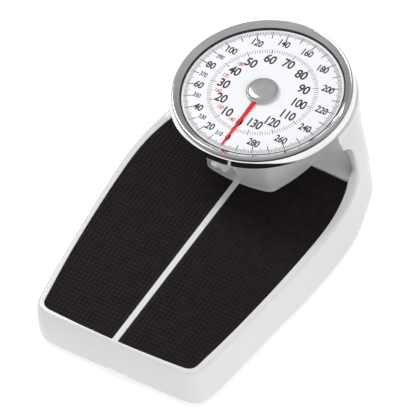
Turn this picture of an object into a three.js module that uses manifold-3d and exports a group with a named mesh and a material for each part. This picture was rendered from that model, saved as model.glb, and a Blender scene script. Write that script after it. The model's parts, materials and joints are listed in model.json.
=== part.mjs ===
// A mechanical dial platform scale: a white platform cover with a round dial head, two ribbed mats,
// and the lever, spring, bell crank, rack and pinion movement that turns the pointer.
// Millimetres, +Z up, +Y towards the dial head, origin on the floor under the middle of the cover.
import * as THREE from 'three';
import { mergeVertices } from 'three/addons/utils/BufferGeometryUtils.js';
import Module from 'manifold-3d';

const wasm = await Module();
wasm.setup();

// ---------------------------------------------------------------- driving dimensions
const LOWER_EDGE_Z = 8; // cover's lower edge
const DECK_Z = 55; // top of the mats
const RIM_Z = DECK_Z + 0.4;
const WALL = 2.6; // cover's wall thickness
const GAP = 0.25; // between pieces that touch
const SLIVER = 0.03; // features thinner than this are merged away after a boolean

const HEAD_Y = 110.3; // dial axis
const HEAD_R = 100.3; // drum and housing band
const FLARE_R = 101.8; // widest part of the housing, just under the bezel
const HEAD_TOP_Z = 123.2;
const HEAD_SIDES = 64; // flats round the head, the same on every ring that meets another
const DIAL_Z = 129; // printed face
const BEZEL_R = 97.6;
const WINDOW_R = 87.6;

const MAT_THICK = 1.6;
const MAT_SEAT_Z = DECK_Z - MAT_THICK - GAP;
const DIVIDER_HALF = 3.7;
const POCKET_BACK_Y = 115;
const POCKET_TOP_Z = 92;
const POCKET_HALF_LOW = 107;
const POCKET_HALF_HIGH = 97;

const PIVOT_Z = 28; // height of every lever's pins
const FRONT_FULCRUM = [84, -170];
const REAR_FULCRUM = [92, 111];
const LOAD_ARM = 54; // fulcrum pin to load pin, along Y
const NOSE = [12, 66]; // rear end of a long lever
const HOOK = [50, -30]; // front end of a short lever
const LEVER_WIDE = 6;
const LEVER_HIGH = 12;
const PIN_R = 2.5;

const CRANK_X = 11.2; // mid plane of the bell crank
const CRANK_PIVOT = [95, 66]; // Y, Z
const CRANK_LEAN = THREE.MathUtils.degToRad(16); // crank's angle at no load
const CRANK_SHORT = 18;
const CRANK_LONG = 49;
const RACK_Z = 110;
const RACK_PIN_RISE = 45; // above the crank's pivot
const PINION_TEETH = 12;
const PINION_R = 3.07; // pitch radius
const PITCH = (2 * Math.PI * PINION_R) / PINION_TEETH;

const KNOB_Z = 15;
const ROD_R = 2;

// ---------------------------------------------------------------- materials
const paint = (color, roughness, metalness) =>
  new THREE.MeshStandardMaterial({ color, roughness, metalness });
const WHITE = paint(0xe6e6e8, 0.3, 0);
const BLACK_MAT = paint(0x1a1517, 0.6, 0);
const CHROME = paint(0xc8c8c8, 0.1, 1);
const STEEL = paint(0x8f9296, 0.4, 1);
const DARK_STEEL = paint(0x4a4c50, 0.5, 1);
const RUBBER = paint(0x1c1c1e, 0.9, 0);
const FACE = paint(0xf6f7fb, 0.5, 0);
const GLASS = paint(0xf4fafc, 0.05, 0);
const RED = paint(0xe11e28, 0.4, 0);
const BRASS = paint(0xb59a4c, 0.3, 1);
const KNOB = paint(0x202022, 0.6, 0);

// ---------------------------------------------------------------- booleans
function solid(geometry) {
  const loose = geometry.getIndex() ? geometry.toNonIndexed() : geometry;
  const bare = new THREE.BufferGeometry();
  bare.setAttribute('position', loose.getAttribute('position'));
  const welded = mergeVertices(bare, 1e-4);
  const mesh = new wasm.Mesh({
    numProp: 3,
    vertProperties: Float32Array.from(welded.getAttribute('position').array),
    triVerts: Uint32Array.from(welded.getIndex().array),
  });
  return new wasm.Manifold(mesh);
}

function geometryOf(manifold) {
  const mesh = manifold.getMesh();
  const geometry = new THREE.BufferGeometry();
  geometry.setAttribute('position', new THREE.BufferAttribute(mesh.vertProperties, 3));
  geometry.setIndex(new THREE.BufferAttribute(mesh.triVerts, 1));
  geometry.computeVertexNormals();
  return geometry;
}

const join = (first, ...rest) => rest.reduce((sum, next) => sum.add(next), first);
const cut = (first, ...rest) => rest.reduce((left, next) => left.subtract(next), first);

// ---------------------------------------------------------------- plain shapes
// A box between two corners.
function block(low, high) {
  const size = high.map((value, axis) => value - low[axis]);
  const middle = high.map((value, axis) => (value + low[axis]) / 2);
  const geometry = new THREE.BoxGeometry(...size).translate(...middle);
  return solid(geometry);
}

// A cylinder from one point to another.
function rod(from, to, radius, sides = 16) {
  const start = new THREE.Vector3(...from);
  const along = new THREE.Vector3(...to).sub(start);
  const geometry = new THREE.CylinderGeometry(radius, radius, along.length(), sides);
  const turn = new THREE.Quaternion();
  turn.setFromUnitVectors(new THREE.Vector3(0, 1, 0), along.clone().normalize());
  geometry.applyQuaternion(turn);
  geometry.translate(...start.addScaledVector(along, 0.5).toArray());
  return solid(geometry);
}

// A profile of [radius, z] points turned about the vertical line through (0, y).
function turned(profile, y, sides = 48) {
  const points = profile.map(([radius, z]) => new THREE.Vector2(radius, z));
  const geometry = new THREE.LatheGeometry(points, sides).rotateX(Math.PI / 2).translate(0, y, 0);
  return solid(geometry);
}

// A flat outline of [x, y] points, from z = low to z = high.
function slab(points, low, high) {
  return loft([
    { z: low, points },
    { z: high, points },
  ]);
}

// A skin through outlines with the same number of points, closed at both ends.
function loft(sections) {
  const count = sections[0].points.length;
  const positions = sections.flatMap(({ z, points }) => points.flatMap(([x, y]) => [x, y, z]));
  const index = [];
  for (let level = 0; level + 1 < sections.length; level += 1) {
    for (let i = 0; i < count; i += 1) {
      const a = level * count + i;
      const b = level * count + ((i + 1) % count);
      index.push(a, b, b + count, a, b + count, a + count);
    }
  }
  const ends = [sections[0], sections[sections.length - 1]];
  ends.forEach(({ points }, side) => {
    const flat = points.map(([x, y]) => new THREE.Vector2(x, y));
    const start = side * (sections.length - 1) * count;
    for (const [a, b, c] of THREE.ShapeUtils.triangulateShape(flat, [])) {
      index.push(...(side ? [a, b, c] : [a, c, b]).map((i) => start + i));
    }
  });
  const geometry = new THREE.BufferGeometry();
  geometry.setAttribute('position', new THREE.Float32BufferAttribute(positions, 3));
  geometry.setIndex(index);
  return solid(geometry);
}

// ---------------------------------------------------------------- outlines
// The right half runs from the middle of the front to the middle of the back; the left mirrors it.
function mirrored(right) {
  const left = right.slice(1, -1).reverse();
  return [...right, ...left.map(([x, y]) => [-x, y])];
}

// Moves every point of a closed outline inwards.
function inset(points, distance) {
  return points.map(([x, y], i) => {
    const [px, py] = points[(i + points.length - 1) % points.length];
    const [nx, ny] = points[(i + 1) % points.length];
    const length = Math.hypot(nx - px, ny - py);
    return [x - ((ny - py) / length) * distance, y + ((nx - px) / length) * distance];
  });
}

// A cover outline: a slightly bowed front, a rounded corner, a spline side, and the head's circle.
function coverOutline(frontY, corner, sides, steps = 42) {
  const tangent = new THREE.Vector2(...sides[sides.length - 1]);
  const path = new THREE.Path();
  path.moveTo(0, frontY);
  path.quadraticCurveTo(corner[0] / 2, frontY, corner[0] - 13, frontY + 3);
  path.quadraticCurveTo(corner[0], frontY + 4, ...corner);
  path.splineThru(sides.map(([x, y]) => new THREE.Vector2(x, y)));
  const start = Math.atan2(tangent.y - HEAD_Y, tangent.x);
  path.absarc(0, HEAD_Y, HEAD_R, start, Math.PI / 2, false);
  return mirrored(path.getSpacedPoints(steps).map(({ x, y }) => [x, y]));
}

const BACK_SIDES = [
  [109, 136],
  [92.5, 156],
  [76.7, 174.9],
];
const LOWER = coverOutline(
  -209,
  [105, -191],
  [[111, -140], [121, -81], [129, -22], [131.8, 31], [129.4, 70], [118.5, 111], ...BACK_SIDES],
);
const UPPER = coverOutline(
  -204,
  [101.6, -187],
  [[109, -147], [118.5, -81], [125, -20], [128, 23], [126, 66], [117, 108], ...BACK_SIDES],
);

function coverLevel(z) {
  const share = Math.min(1, (z - LOWER_EDGE_Z) / (DECK_Z - 2 - LOWER_EDGE_Z));
  return LOWER.map(([x, y], i) => [x + (UPPER[i][0] - x) * share, y + (UPPER[i][1] - y) * share]);
}

// The foot of the pedestal that stands between the mats, grown or shrunk about its middle.
function pedestalLevel(z, scale, grow = 0) {
  const path = new THREE.Path();
  path.moveTo(0, 43);
  path.quadraticCurveTo(20, 43.4, 35, 46.5);
  path.quadraticCurveTo(42, 48, 44, 54);
  path.quadraticCurveTo(52, 70, 57, 90);
  path.quadraticCurveTo(60, 100, 61, 125);
  path.lineTo(0, 125);
  const half = path.getSpacedPoints(16).map(({ x, y }) => [x * scale, 100 + (y - 100) * scale]);
  return { z, points: inset(mirrored(half), -grow) };
}

// The mats' outer edge, with rounded front corners, before the divider and pedestal are cut out.
function matOutline(grow = 0) {
  const path = new THREE.Path();
  path.moveTo(0, -199);
  path.quadraticCurveTo(44, -199, 84, -196.4);
  path.quadraticCurveTo(95, -195.6, 96, -186);
  path.splineThru([
    new THREE.Vector2(105, -131),
    new THREE.Vector2(113, -64),
    new THREE.Vector2(118.3, 3),
    new THREE.Vector2(118.6, 42),
    new THREE.Vector2(114, 74),
    new THREE.Vector2(106.5, 98.5),
  ]);
  path.lineTo(0, 98.5);
  const half = path.getSpacedPoints(44).map(({ x, y }) => [x, y]);
  return inset(mirrored(half), -grow);
}

// ---------------------------------------------------------------- cover
// Each cover shape is made twice: at thickness 0 for the outside, then at WALL for the hollow inside.
function platformTub(thickness) {
  const bottom = inset(coverLevel(LOWER_EDGE_Z), thickness);
  const edge = inset(coverLevel(DECK_Z - 2), thickness);
  if (thickness) {
    return loft([
      { z: -1, points: bottom },
      { z: MAT_SEAT_Z - WALL, points: edge },
    ]);
  }
  return loft([
    { z: LOWER_EDGE_Z, points: bottom },
    { z: DECK_Z - 2, points: edge },
    { z: RIM_Z - 0.8, points: inset(UPPER, 0.8) },
    { z: RIM_Z, points: inset(UPPER, 2.4) },
  ]);
}

// Distance from the dial axis to the deck's outline, no further forward than the wing's start.
function deckRadius(angle) {
  const [dx, dy] = [Math.cos(angle), Math.sin(angle)];
  let reach = dy < 0 ? (HEAD_Y - 50) / -dy : Infinity;
  UPPER.forEach(([ax, ay], i) => {
    const [bx, by] = UPPER[(i + 1) % UPPER.length];
    const across = dx * (by - ay) - dy * (bx - ax);
    const along = (ax * (by - ay) - (ay - HEAD_Y) * (bx - ax)) / across;
    const share = (ax * dy - (ay - HEAD_Y) * dx) / across;
    if (along > 0 && share >= 0 && share <= 1) {
      reach = Math.min(reach, along);
    }
  });
  return reach;
}

// The drum behind the pockets leans from the deck's outline in to the head's circle.
function drum(thickness) {
  const levels = [DECK_Z - 8, DECK_Z, 75, 95, 112, 118];
    const sections = levels.map((z) => {
    const share = THREE.MathUtils.clamp((z - DECK_Z) / (112 - DECK_Z), 0, 1);
    const proud = z < DECK_Z ? -1 : 0.25; // starts inside the tub, then stands just outside it
    const points = [];
    for (let i = 0; i < HEAD_SIDES; i += 1) {
      const angle = (2 * Math.PI * i) / HEAD_SIDES;
      const radius = THREE.MathUtils.lerp(deckRadius(angle), HEAD_R, share) + proud - thickness;
      points.push([radius * Math.cos(angle), HEAD_Y + radius * Math.sin(angle)]);
    }
    return { z, points };
  });
  return loft(sections);
}

// The space in front of the drum: it sweeps up from the rim to the drum's side wings.
function frontSpace(thickness) {
  const profile = new THREE.Shape();
  profile.moveTo(-80, DECK_Z - thickness);
  profile.lineTo(68, DECK_Z - thickness);
  profile.quadraticCurveTo(98, DECK_Z + 2 - thickness, 104 + thickness, DECK_Z + 26);
  profile.lineTo(106 + thickness, HEAD_TOP_Z + 20);
  profile.lineTo(-80, HEAD_TOP_Z + 20);
  const geometry = new THREE.ExtrudeGeometry(profile, {
    depth: 400,
    bevelEnabled: false,
    curveSegments: 8,
  });
  const place = new THREE.Matrix4().makeBasis(
    new THREE.Vector3(0, 1, 0),
    new THREE.Vector3(0, 0, 1),
    new THREE.Vector3(1, 0, 0),
  );
  return solid(geometry.applyMatrix4(place).translate(-200, 0, 0));
}

// The toe pockets: one space across the cover, filled again in the middle by the pedestal.
function pocketSpace(thickness) {
  const back = POCKET_BACK_Y + thickness;
  const level = (z, half) => ({
    z,
    points: [[-half, -80], [half, -80], [half, back], [-half, back]],
  });
  return loft([
    level(DECK_Z - thickness, POCKET_HALF_LOW + thickness),
    level(POCKET_TOP_Z + thickness, POCKET_HALF_HIGH + thickness),
  ]);
}

// The bowl under the dial: a flat floor over the pockets, a concave flare, and the housing band.
function headBowl(thickness) {
  const flare = new THREE.Path();
  flare.moveTo(0, POCKET_TOP_Z + thickness);
  flare.lineTo(84 - thickness, POCKET_TOP_Z + thickness);
  flare.quadraticCurveTo(89 - thickness, POCKET_TOP_Z + thickness, 91 - thickness, 98);
  flare.quadraticCurveTo(94 - thickness, 110, FLARE_R - 1.5 - thickness, 115);
  flare.quadraticCurveTo(FLARE_R - thickness, 116, FLARE_R - thickness, 118);
  flare.lineTo(HEAD_R - 1.5 - thickness, HEAD_TOP_Z - 2.5 * (thickness > 0));
  flare.lineTo(0, HEAD_TOP_Z - 2.5 * (thickness > 0));
  const profile = flare.getPoints(4).map(({ x, y }) => [x, y]);
  return turned(profile, HEAD_Y, HEAD_SIDES);
}

function pedestal(thickness) {
  return loft([
    pedestalLevel(DECK_Z - 8, 1, -thickness),
    pedestalLevel(DECK_Z, 1, -thickness),
    pedestalLevel(72, 1.03, -thickness),
    pedestalLevel(84, 1.1, -thickness),
    pedestalLevel(POCKET_TOP_Z + 4, 1.24, -thickness),
  ]);
}

function coverShape(thickness) {
  const column = cut(drum(thickness), frontSpace(thickness), pocketSpace(thickness));
  return join(platformTub(thickness), column, headBowl(thickness), pedestal(thickness));
}

function platformCover() {
  const window = rod([0, HEAD_Y, 110], [0, HEAD_Y, 140], 88, HEAD_SIDES);
  const knobNotch = block([-13, -215, 0], [13, -195, LOWER_EDGE_Z + 2.5]);
  const seats = matPlates(MAT_SEAT_Z, RIM_Z + 1, 0.4, 0.4);
  return cut(coverShape(0), coverShape(WALL), window, knobNotch, ...seats).simplify(SLIVER);
}

// Both mats, or the seats they lie in, as [left, right].
function matPlates(low, high, grow, pedestalGap) {
  const plate = slab(matOutline(grow), low, high);
  const foot = slab(pedestalLevel(0, 1, 0.8 - pedestalGap).points, low - 1, high + 1);
  const half = DIVIDER_HALF - grow;
  return [-1, 1].map((side) => {
    const reach = [half * side, 200 * side].sort((a, b) => a - b);
    const window = block([reach[0], -260, low - 1], [reach[1], 200, high + 1]);
    return plate.intersect(window).subtract(foot);
  });
}

// ---------------------------------------------------------------- dial head
function bezel() {
  const profile = [
    [95.4, 124.7],
    [BEZEL_R, 124.7],
    [BEZEL_R, 133.6],
    [97, 135],
    [95.4, 135.4],
    [90, 132.6],
    [88.2, 132],
    [WINDOW_R, 131.4],
    [WINDOW_R, 130.9],
    [95.4, 130.9],
    [95.4, 124.7],
  ];
  return turned(profile, HEAD_Y, 60);
}

function gasket() {
  return turned([[93.2, 123.4], [97, 123.4], [97, 124.5], [93.2, 124.5], [93.2, 123.4]], HEAD_Y);
}

// The printed face, with a skirt that stands on the housing's flange.
function dialPlate() {
  const hole = 4;
  const skirt = 92.4;
  const profile = [
    [hole, DIAL_Z - 1],
    [skirt - 1.2, DIAL_Z - 1],
    [skirt - 1.2, HEAD_TOP_Z + GAP],
    [skirt, HEAD_TOP_Z + GAP],
    [skirt, DIAL_Z],
    [hole, DIAL_Z],
    [hole, DIAL_Z - 1],
  ];
  return turned(profile, HEAD_Y);
}

// A shallow dome with a flat flange that the bezel holds down.
function lens() {
  const flange = 95;
  const rise = 6.2;
  const thick = 1.3;
  const low = DIAL_Z + 0.3;
  const under = [];
  const over = [];
  for (let i = 0; i <= 6; i += 1) {
    const turn = (Math.PI / 2) * (i / 6);
    const radius = 87 * Math.sin(turn);
    const height = i < 6 ? rise * Math.cos(turn) ** 0.7 : 0;
    under.push([radius, low + height]);
    over.unshift([radius, low + thick + height]);
  }
  return turned([...under, [flange, low], [flange, low + thick], ...over], HEAD_Y, 48);
}

function pointerNeedle() {
  const tip = 84;
  const outline = [
    [-2.2, 0],
    [-2.2, -10],
    [-0.7, -tip],
    [0.7, -tip],
    [2.2, -10],
    [2.2, 0],
  ];
  const blade = slab(outline.map(([x, y]) => [x, y + HEAD_Y]), DIAL_Z + 1, DIAL_Z + 1.6);
  const eye = rod([0, HEAD_Y, DIAL_Z + 1], [0, HEAD_Y, DIAL_Z + 1.6], 7, 24);
  const hole = rod([0, HEAD_Y, 100], [0, HEAD_Y, 140], ROD_R + GAP);
  return join(blade, eye).subtract(hole);
}

function pointerHub() {
  const base = DIAL_Z + 1.9;
  const profile = [
    [0, base],
    [16.4, base],
    [17, base + 0.7],
    [15, base + 2.1],
    [10, base + 2.9],
    [0, base + 3.2],
    [0, base],
  ];
  return turned(profile, HEAD_Y, 40);
}

const pointerSpindle = () => rod([0, HEAD_Y, 99.5], [0, HEAD_Y, DIAL_Z + 1.75], ROD_R);

// Straight-flanked teeth on a bored hub.
function pinion() {
  const points = [];
  for (let i = 0; i < PINION_TEETH; i += 1) {
    const middle = (2 * Math.PI * i) / PINION_TEETH + Math.PI / PINION_TEETH;
    const corners = [
      [PINION_R - 0.5, -0.2],
      [PINION_R + 0.42, -0.07],
      [PINION_R + 0.42, 0.07],
      [PINION_R - 0.5, 0.2],
    ];
    for (const [radius, turn] of corners) {
      const angle = middle + turn;
      points.push([radius * Math.cos(angle), HEAD_Y + radius * Math.sin(angle)]);
    }
  }
  const bore = rod([0, HEAD_Y, 100], [0, HEAD_Y, 120], ROD_R + 0.15);
  return slab(points, RACK_Z - 3, RACK_Z + 3).subtract(bore);
}

// Bushes carry the spindle in the movement plate and in the bracket under it.
function spindleBush(z) {
  return turned([[2.3, z], [4, z], [4, z + 4], [2.3, z + 4], [2.3, z]], HEAD_Y, 24);
}

function movementPlate() {
  const hole = rod([0, HEAD_Y, 110], [0, HEAD_Y, 130], 4 + GAP, 24);
  return block([-88, HEAD_Y - 22, 118], [88, HEAD_Y + 22, 120.3]).subtract(hole);
}

// A strap that hangs under the movement plate and holds the lower bush.
function spindleBracket() {
  const outer = block([-26, HEAD_Y + 6, 99], [26, HEAD_Y + 16, 117.75]);
  const inner = block([-24, HEAD_Y, 101], [24, HEAD_Y + 20, 115.75]);
  const tongue = block([-7, HEAD_Y - 7, 99], [7, HEAD_Y + 8, 101]);
  const hole = rod([0, HEAD_Y, 95], [0, HEAD_Y, 105], 4 + GAP, 24);
  return join(cut(outer, inner), tongue).subtract(hole);
}

// The pin that the crank's fork pushes stands out of the rack's side.
const RACK_PIN_Y = CRANK_PIVOT[0] + RACK_PIN_RISE * Math.tan(CRANK_LEAN);
function rack() {
  const face = PINION_R + 0.5;
  const teeth = [];
  for (let i = -3; i <= 20; i += 1) {
    const y = HEAD_Y + i * PITCH;
    const tooth = [
      [face + 0.3, y - 0.42],
      [face + 0.3, y + 0.42],
      [face - 0.85, y + 0.16],
      [face - 0.85, y - 0.16],
    ];
    teeth.push(slab(tooth, RACK_Z - 2, RACK_Z + 2));
  }
  const bar = block([face, RACK_PIN_Y - 4, RACK_Z - 2], [face + 4, HEAD_Y + 36, RACK_Z + 2]);
  const pinZ = CRANK_PIVOT[1] + RACK_PIN_RISE;
  const pin = rod([face + 2, RACK_PIN_Y, pinZ], [14.4, RACK_PIN_Y, pinZ], 1.5);
  return join(bar, pin, ...teeth);
}

// Two lips keep the rack against the pinion.
function rackGuide() {
  const wall = block([8.2, HEAD_Y + 2, 106], [10.2, HEAD_Y + 5, 117.75]);
  const lip = block([5.4, HEAD_Y + 2, 106], [8.2, HEAD_Y + 5, 107.6]);
  const foot = block([8.2, HEAD_Y - 8, 116], [18, HEAD_Y + 5, 117.75]);
  return join(wall, lip, foot);
}

// ---------------------------------------------------------------- bell crank
function leaned(manifold) {
  const [y, z] = CRANK_PIVOT;
  const degrees = THREE.MathUtils.radToDeg(CRANK_LEAN);
  return manifold.translate(0, -y, -z).rotate(-degrees, 0, 0).translate(0, y, z);
}

// Drawn upright, with its short arm level and its forked arm up, then leaned back.
function bellCrank() {
  const [y, z] = CRANK_PIVOT;
  const [low, high] = [CRANK_X - 1.2, CRANK_X + 1.2];
  const hub = rod([low, y, z], [high, y, z], 6, 24);
  const shortArm = block([low, y - CRANK_SHORT, z - 2.5], [high, y, z + 2.5]);
  const shortEnd = rod([low, y - CRANK_SHORT, z], [high, y - CRANK_SHORT, z], 2.5);
  const longArm = block([low, y - 4, z], [high, y + 4, z + CRANK_LONG]);
  const slot = block([low - 1, y - 1.95, z + 38], [high + 1, y + 1.95, z + 60]);
  const peg = rod([5.4, y - CRANK_SHORT, z], [high, y - CRANK_SHORT, z], 1.5);
  const bore = rod([low - 1, y, z], [high + 1, y, z], 2.15);
  return leaned(cut(join(hub, shortArm, shortEnd, longArm, peg), slot, bore));
}

function crankPin() {
  const [y, z] = CRANK_PIVOT;
  return rod([CRANK_X - 3, y, z], [19, y, z], 2);
}

function crankBracket() {
  const [y, z] = CRANK_PIVOT;
  const plate = block([15.6, y - 6, z - 6], [17.6, y + 6, 117.75]);
  const foot = block([17.6, y - 6, 115.75], [30, y + 6, 117.75]);
  return join(plate, foot).subtract(rod([14, y, z], [20, y, z], 2.3));
}

// ---------------------------------------------------------------- spring
const CARRIER_Y = NOSE[1];
const LIFT_Y = CRANK_PIVOT[0] - CRANK_SHORT * 0.98;

// A stirrup under the long levers' ends; its side arm lifts the crank through a rod with an eye.
function springCarrier() {
  const outer = block([-21, CARRIER_Y - 5, 21], [21, CARRIER_Y + 5, 38]);
  const inner = block([-18, CARRIER_Y - 6, 24], [18, CARRIER_Y + 6, 34.5]);
  const stud = rod([0, CARRIER_Y, 36], [0, CARRIER_Y, 41], 4);
  const arm = block([5.6, CARRIER_Y, 34.5], [9, CARRIER_Y + 14.5, 38]);
  const seat = rod([7.3, LIFT_Y, 30], [7.3, LIFT_Y, 40], 1.4, 12);
  return cut(join(cut(outer, inner), stud, arm), seat);
}

function liftRod() {
  const top = CRANK_PIVOT[1] + CRANK_SHORT * Math.sin(CRANK_LEAN);
  const stem = rod([7.3, LIFT_Y, 33], [7.3, LIFT_Y, top - 3], 1.2, 12);
  const eye = rod([6, LIFT_Y, top], [8.6, LIFT_Y, top], 4, 20);
  const hole = rod([5, LIFT_Y, top], [10, LIFT_Y, top], 2.4, 20);
  return join(stem, eye).subtract(hole);
}

function springFrame() {
  const posts = [-36, 33].map((x) => block([x, 58, 6.7], [x + 3, 76, 92]));
  const bridge = block([-36, 58, 89], [36, 76, 92]);
  const feet = [-46, 33].map((x) => block([x, 58, 6.7], [x + 13, 76, 9]));
  const toe = block([-9, 55.5, 6.7], [9, 58, 19]);
  const sill = block([-36, 55.5, 6.7], [36, 60, 8.4]);
  const anchorHole = rod([0, CARRIER_Y, 80], [0, CARRIER_Y, 95], 3.2);
  const rodHole = rod([0, 50, KNOB_Z], [0, 60, KNOB_Z], ROD_R + 0.4);
  return join(...posts, bridge, ...feet, toe, sill).subtract(anchorHole).subtract(rodHole);
}

// The threaded anchor that the spring hangs from, with its nut on the bridge.
function springAnchor() {
  const stem = rod([0, CARRIER_Y, 82], [0, CARRIER_Y, 99], 2.8);
  const nut = rod([0, CARRIER_Y, 92.3], [0, CARRIER_Y, 96.5], 6, 6);
  const seat = rod([0, CARRIER_Y, 82], [0, CARRIER_Y, 85], 5.6);
  return join(stem, nut, seat);
}

// A coil of round wire swept along a helix, standing between the carrier and the anchor.
function mainSpring() {
  const [low, high, turns, radius, wire] = [42.6, 80.4, 8, 8, 1.2];
  class Coil extends THREE.Curve {
    getPoint(share, target = new THREE.Vector3()) {
      const angle = 2 * Math.PI * turns * share;
      const z = low + (high - low) * share;
      return target.set(radius * Math.cos(angle), CARRIER_Y + radius * Math.sin(angle), z);
    }
  }
  const section = new THREE.Shape();
  section.absarc(0, 0, wire, 0, 2 * Math.PI, false);
  const geometry = new THREE.ExtrudeGeometry(section, {
    extrudePath: new Coil(),
    steps: turns * 10,
    curveSegments: 4,
    bevelEnabled: false,
  });
  return solid(geometry);
}

// ---------------------------------------------------------------- levers
// X of a lever's centre line at a given Y, between its two ends.
function leverX([x0, y0], [x1, y1], y) {
  return x0 + ((x1 - x0) * (y - y0)) / (y1 - y0);
}

function leverBar([x0, y0], [x1, y1]) {
  const length = Math.hypot(x1 - x0, y1 - y0);
  const geometry = new THREE.BoxGeometry(length + 10, LEVER_WIDE, LEVER_HIGH);
  geometry.rotateZ(Math.atan2(y1 - y0, x1 - x0));
  return solid(geometry.translate((x0 + x1) / 2, (y0 + y1) / 2, PIVOT_Z));
}

function crossPin(x, y, half, radius = PIN_R) {
  return rod([x - half, y, PIVOT_Z], [x + half, y, PIVOT_Z], radius);
}

// The two ends, the load pin's Y and the shape at the far end of each kind of lever.
const longLoadY = FRONT_FULCRUM[1] + LOAD_ARM;
const shortLoadY = REAR_FULCRUM[1] - LOAD_ARM;
const longLoadX = leverX(FRONT_FULCRUM, NOSE, longLoadY);
const shortLoadX = leverX(REAR_FULCRUM, HOOK, shortLoadY);

function longLever() {
  const noseTop = 24.4 + 2 * 3;
  const nose = rod([8, NOSE[1], 27.4], [16, NOSE[1], 27.4], 3);
  const throat = block([-10, NOSE[1] - 7, noseTop + 2], [40, NOSE[1] + 10, 60]);
  const heel = block([-10, NOSE[1] - 7, 10], [40, NOSE[1] + 10, 24.4]);
  const holes = [
    crossPin(...FRONT_FULCRUM, 20, PIN_R + 0.15),
    crossPin(longLoadX, longLoadY, 20, PIN_R + 0.15),
  ];
  return cut(join(cut(leverBar(FRONT_FULCRUM, NOSE), throat, heel), nose), ...holes);
}

function shortLever() {
  const tower = block([HOOK[0] - 3, HOOK[1] - 4, 24], [HOOK[0] + 3, HOOK[1] + 4, 39.4]);
  const finger = rod([36, HOOK[1], 37], [HOOK[0], HOOK[1], 37], 2.4);
  const holes = [
    crossPin(...REAR_FULCRUM, 20, PIN_R + 0.15),
    crossPin(shortLoadX, shortLoadY, 20, PIN_R + 0.15),
  ];
  return cut(join(leverBar(REAR_FULCRUM, HOOK), tower, finger), ...holes);
}

// A pressed steel stand with two eared sides around a fulcrum pin.
function fulcrumBracket([x, y]) {
  const outer = block([x - 10.5, y - 9, 6.7], [x + 10.5, y + 9, 34]);
  const inner = block([x - 8.3, y - 10, 8.9], [x + 8.3, y + 10, 40]);
  return cut(outer, inner, crossPin(x, y, 20, PIN_R + 0.25));
}

// A post that rests on both ends of a load pin, with a space for the lever between its legs.
function loadPost(x, y) {
  const top = MAT_SEAT_Z - WALL - GAP;
  const outer = block([x - 10, y - 6, PIVOT_Z + PIN_R + 0.45], [x + 10, y + 6, top]);
  const inner = block([x - 6.2, y - 7, PIVOT_Z], [x + 6.2, y + 7, 40]);
  return cut(outer, inner);
}

// ---------------------------------------------------------------- base and zero adjuster
function basePan() {
  const outer = slab(inset(LOWER, 7), 5, 16);
  const inner = slab(inset(LOWER, 8.4), 6.5, 20);
  const knobSlot = block([-13, -210, 0], [13, -191, 30]);
  return cut(outer, inner, knobSlot);
}

function rubberFoot(x, y) {
  const profile = [[0, 0], [9.5, 0], [11, 1.5], [11, 4.8], [0, 4.8], [0, 0]];
  return turned(profile, 0, 28).translate(x, y, 0);
}

function zeroKnob() {
  const points = [];
  const teeth = 24;
  for (let i = 0; i < teeth * 2; i += 1) {
    const angle = (Math.PI * i) / teeth;
    const radius = i % 2 ? 10.2 : 10.9;
    points.push([radius * Math.cos(angle), radius * Math.sin(angle)]);
  }
  const wheel = slab(points, 0, 8.5).rotate(90, 0, 0).translate(0, -194, KNOB_Z);
  return wheel.subtract(rod([0, -210, KNOB_Z], [0, -190, KNOB_Z], ROD_R + 0.15));
}

const zeroRod = () => rod([0, -202, KNOB_Z], [0, 59, KNOB_Z], ROD_R);

function rodBearing(y) {
  const plate = block([-8, y - 1.5, 6.7], [8, y + 1.5, 21]);
  const foot = block([-8, y - 1.5, 6.7], [8, y + 9, 8.7]);
  return join(plate, foot).subtract(rod([0, y - 5, KNOB_Z], [0, y + 5, KNOB_Z], ROD_R + 0.25));
}

// The nut runs along the rod's thread and bears on the toe of the spring frame.
function zeroNut() {
  const nut = block([-6, 42, 9.2], [6, 50, 20.8]);
  return nut.subtract(rod([0, 40, KNOB_Z], [0, 52, KNOB_Z], ROD_R + 0.2));
}

// ---------------------------------------------------------------- scene
const scale = new THREE.Group();

function add(name, manifold, material) {
  const mesh = new THREE.Mesh(geometryOf(manifold), material);
  mesh.name = name;
  scale.add(mesh);
}

// Each right-hand piece and its mirror image on the left.
function addPair(name, manifold, material) {
  add(`${name}_right`, manifold, material);
  add(`${name}_left`, manifold.mirror([1, 0, 0]), material);
}

add('platform_cover', platformCover(), WHITE);
const [matLeft, matRight] = matPlates(DECK_Z - MAT_THICK, DECK_Z, 0, -0.2);
add('mat_left', matLeft, BLACK_MAT);
add('mat_right', matRight, BLACK_MAT);
addPair('front_load_post', loadPost(longLoadX, longLoadY), STEEL);
addPair('rear_load_post', loadPost(shortLoadX, shortLoadY), STEEL);

add('dial_bezel', bezel(), CHROME);
add('bezel_gasket', gasket(), RUBBER);
add('dial_lens', lens(), GLASS);
add('dial_plate', dialPlate(), FACE);
add('movement_plate', movementPlate(), STEEL);
add('spindle_bracket', spindleBracket(), STEEL);
add('upper_spindle_bush', spindleBush(116.5), BRASS);
add('lower_spindle_bush', spindleBush(99.5), BRASS);
add('rack_guide', rackGuide(), STEEL);
add('crank_bracket', crankBracket(), STEEL);

add('pointer_needle', pointerNeedle(), RED);
add('pointer_hub', pointerHub(), CHROME);
add('pointer_spindle', pointerSpindle(), STEEL);
add('pinion', pinion(), BRASS);
add('rack', rack(), BRASS);
add('bell_crank', bellCrank(), STEEL);
add('bell_crank_pin', crankPin(), STEEL);

add('spring_carrier', springCarrier(), DARK_STEEL);
add('lift_rod', liftRod(), STEEL);
add('spring_frame', springFrame(), DARK_STEEL);
add('spring_anchor', springAnchor(), STEEL);
add('main_spring', mainSpring(), STEEL);

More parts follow.
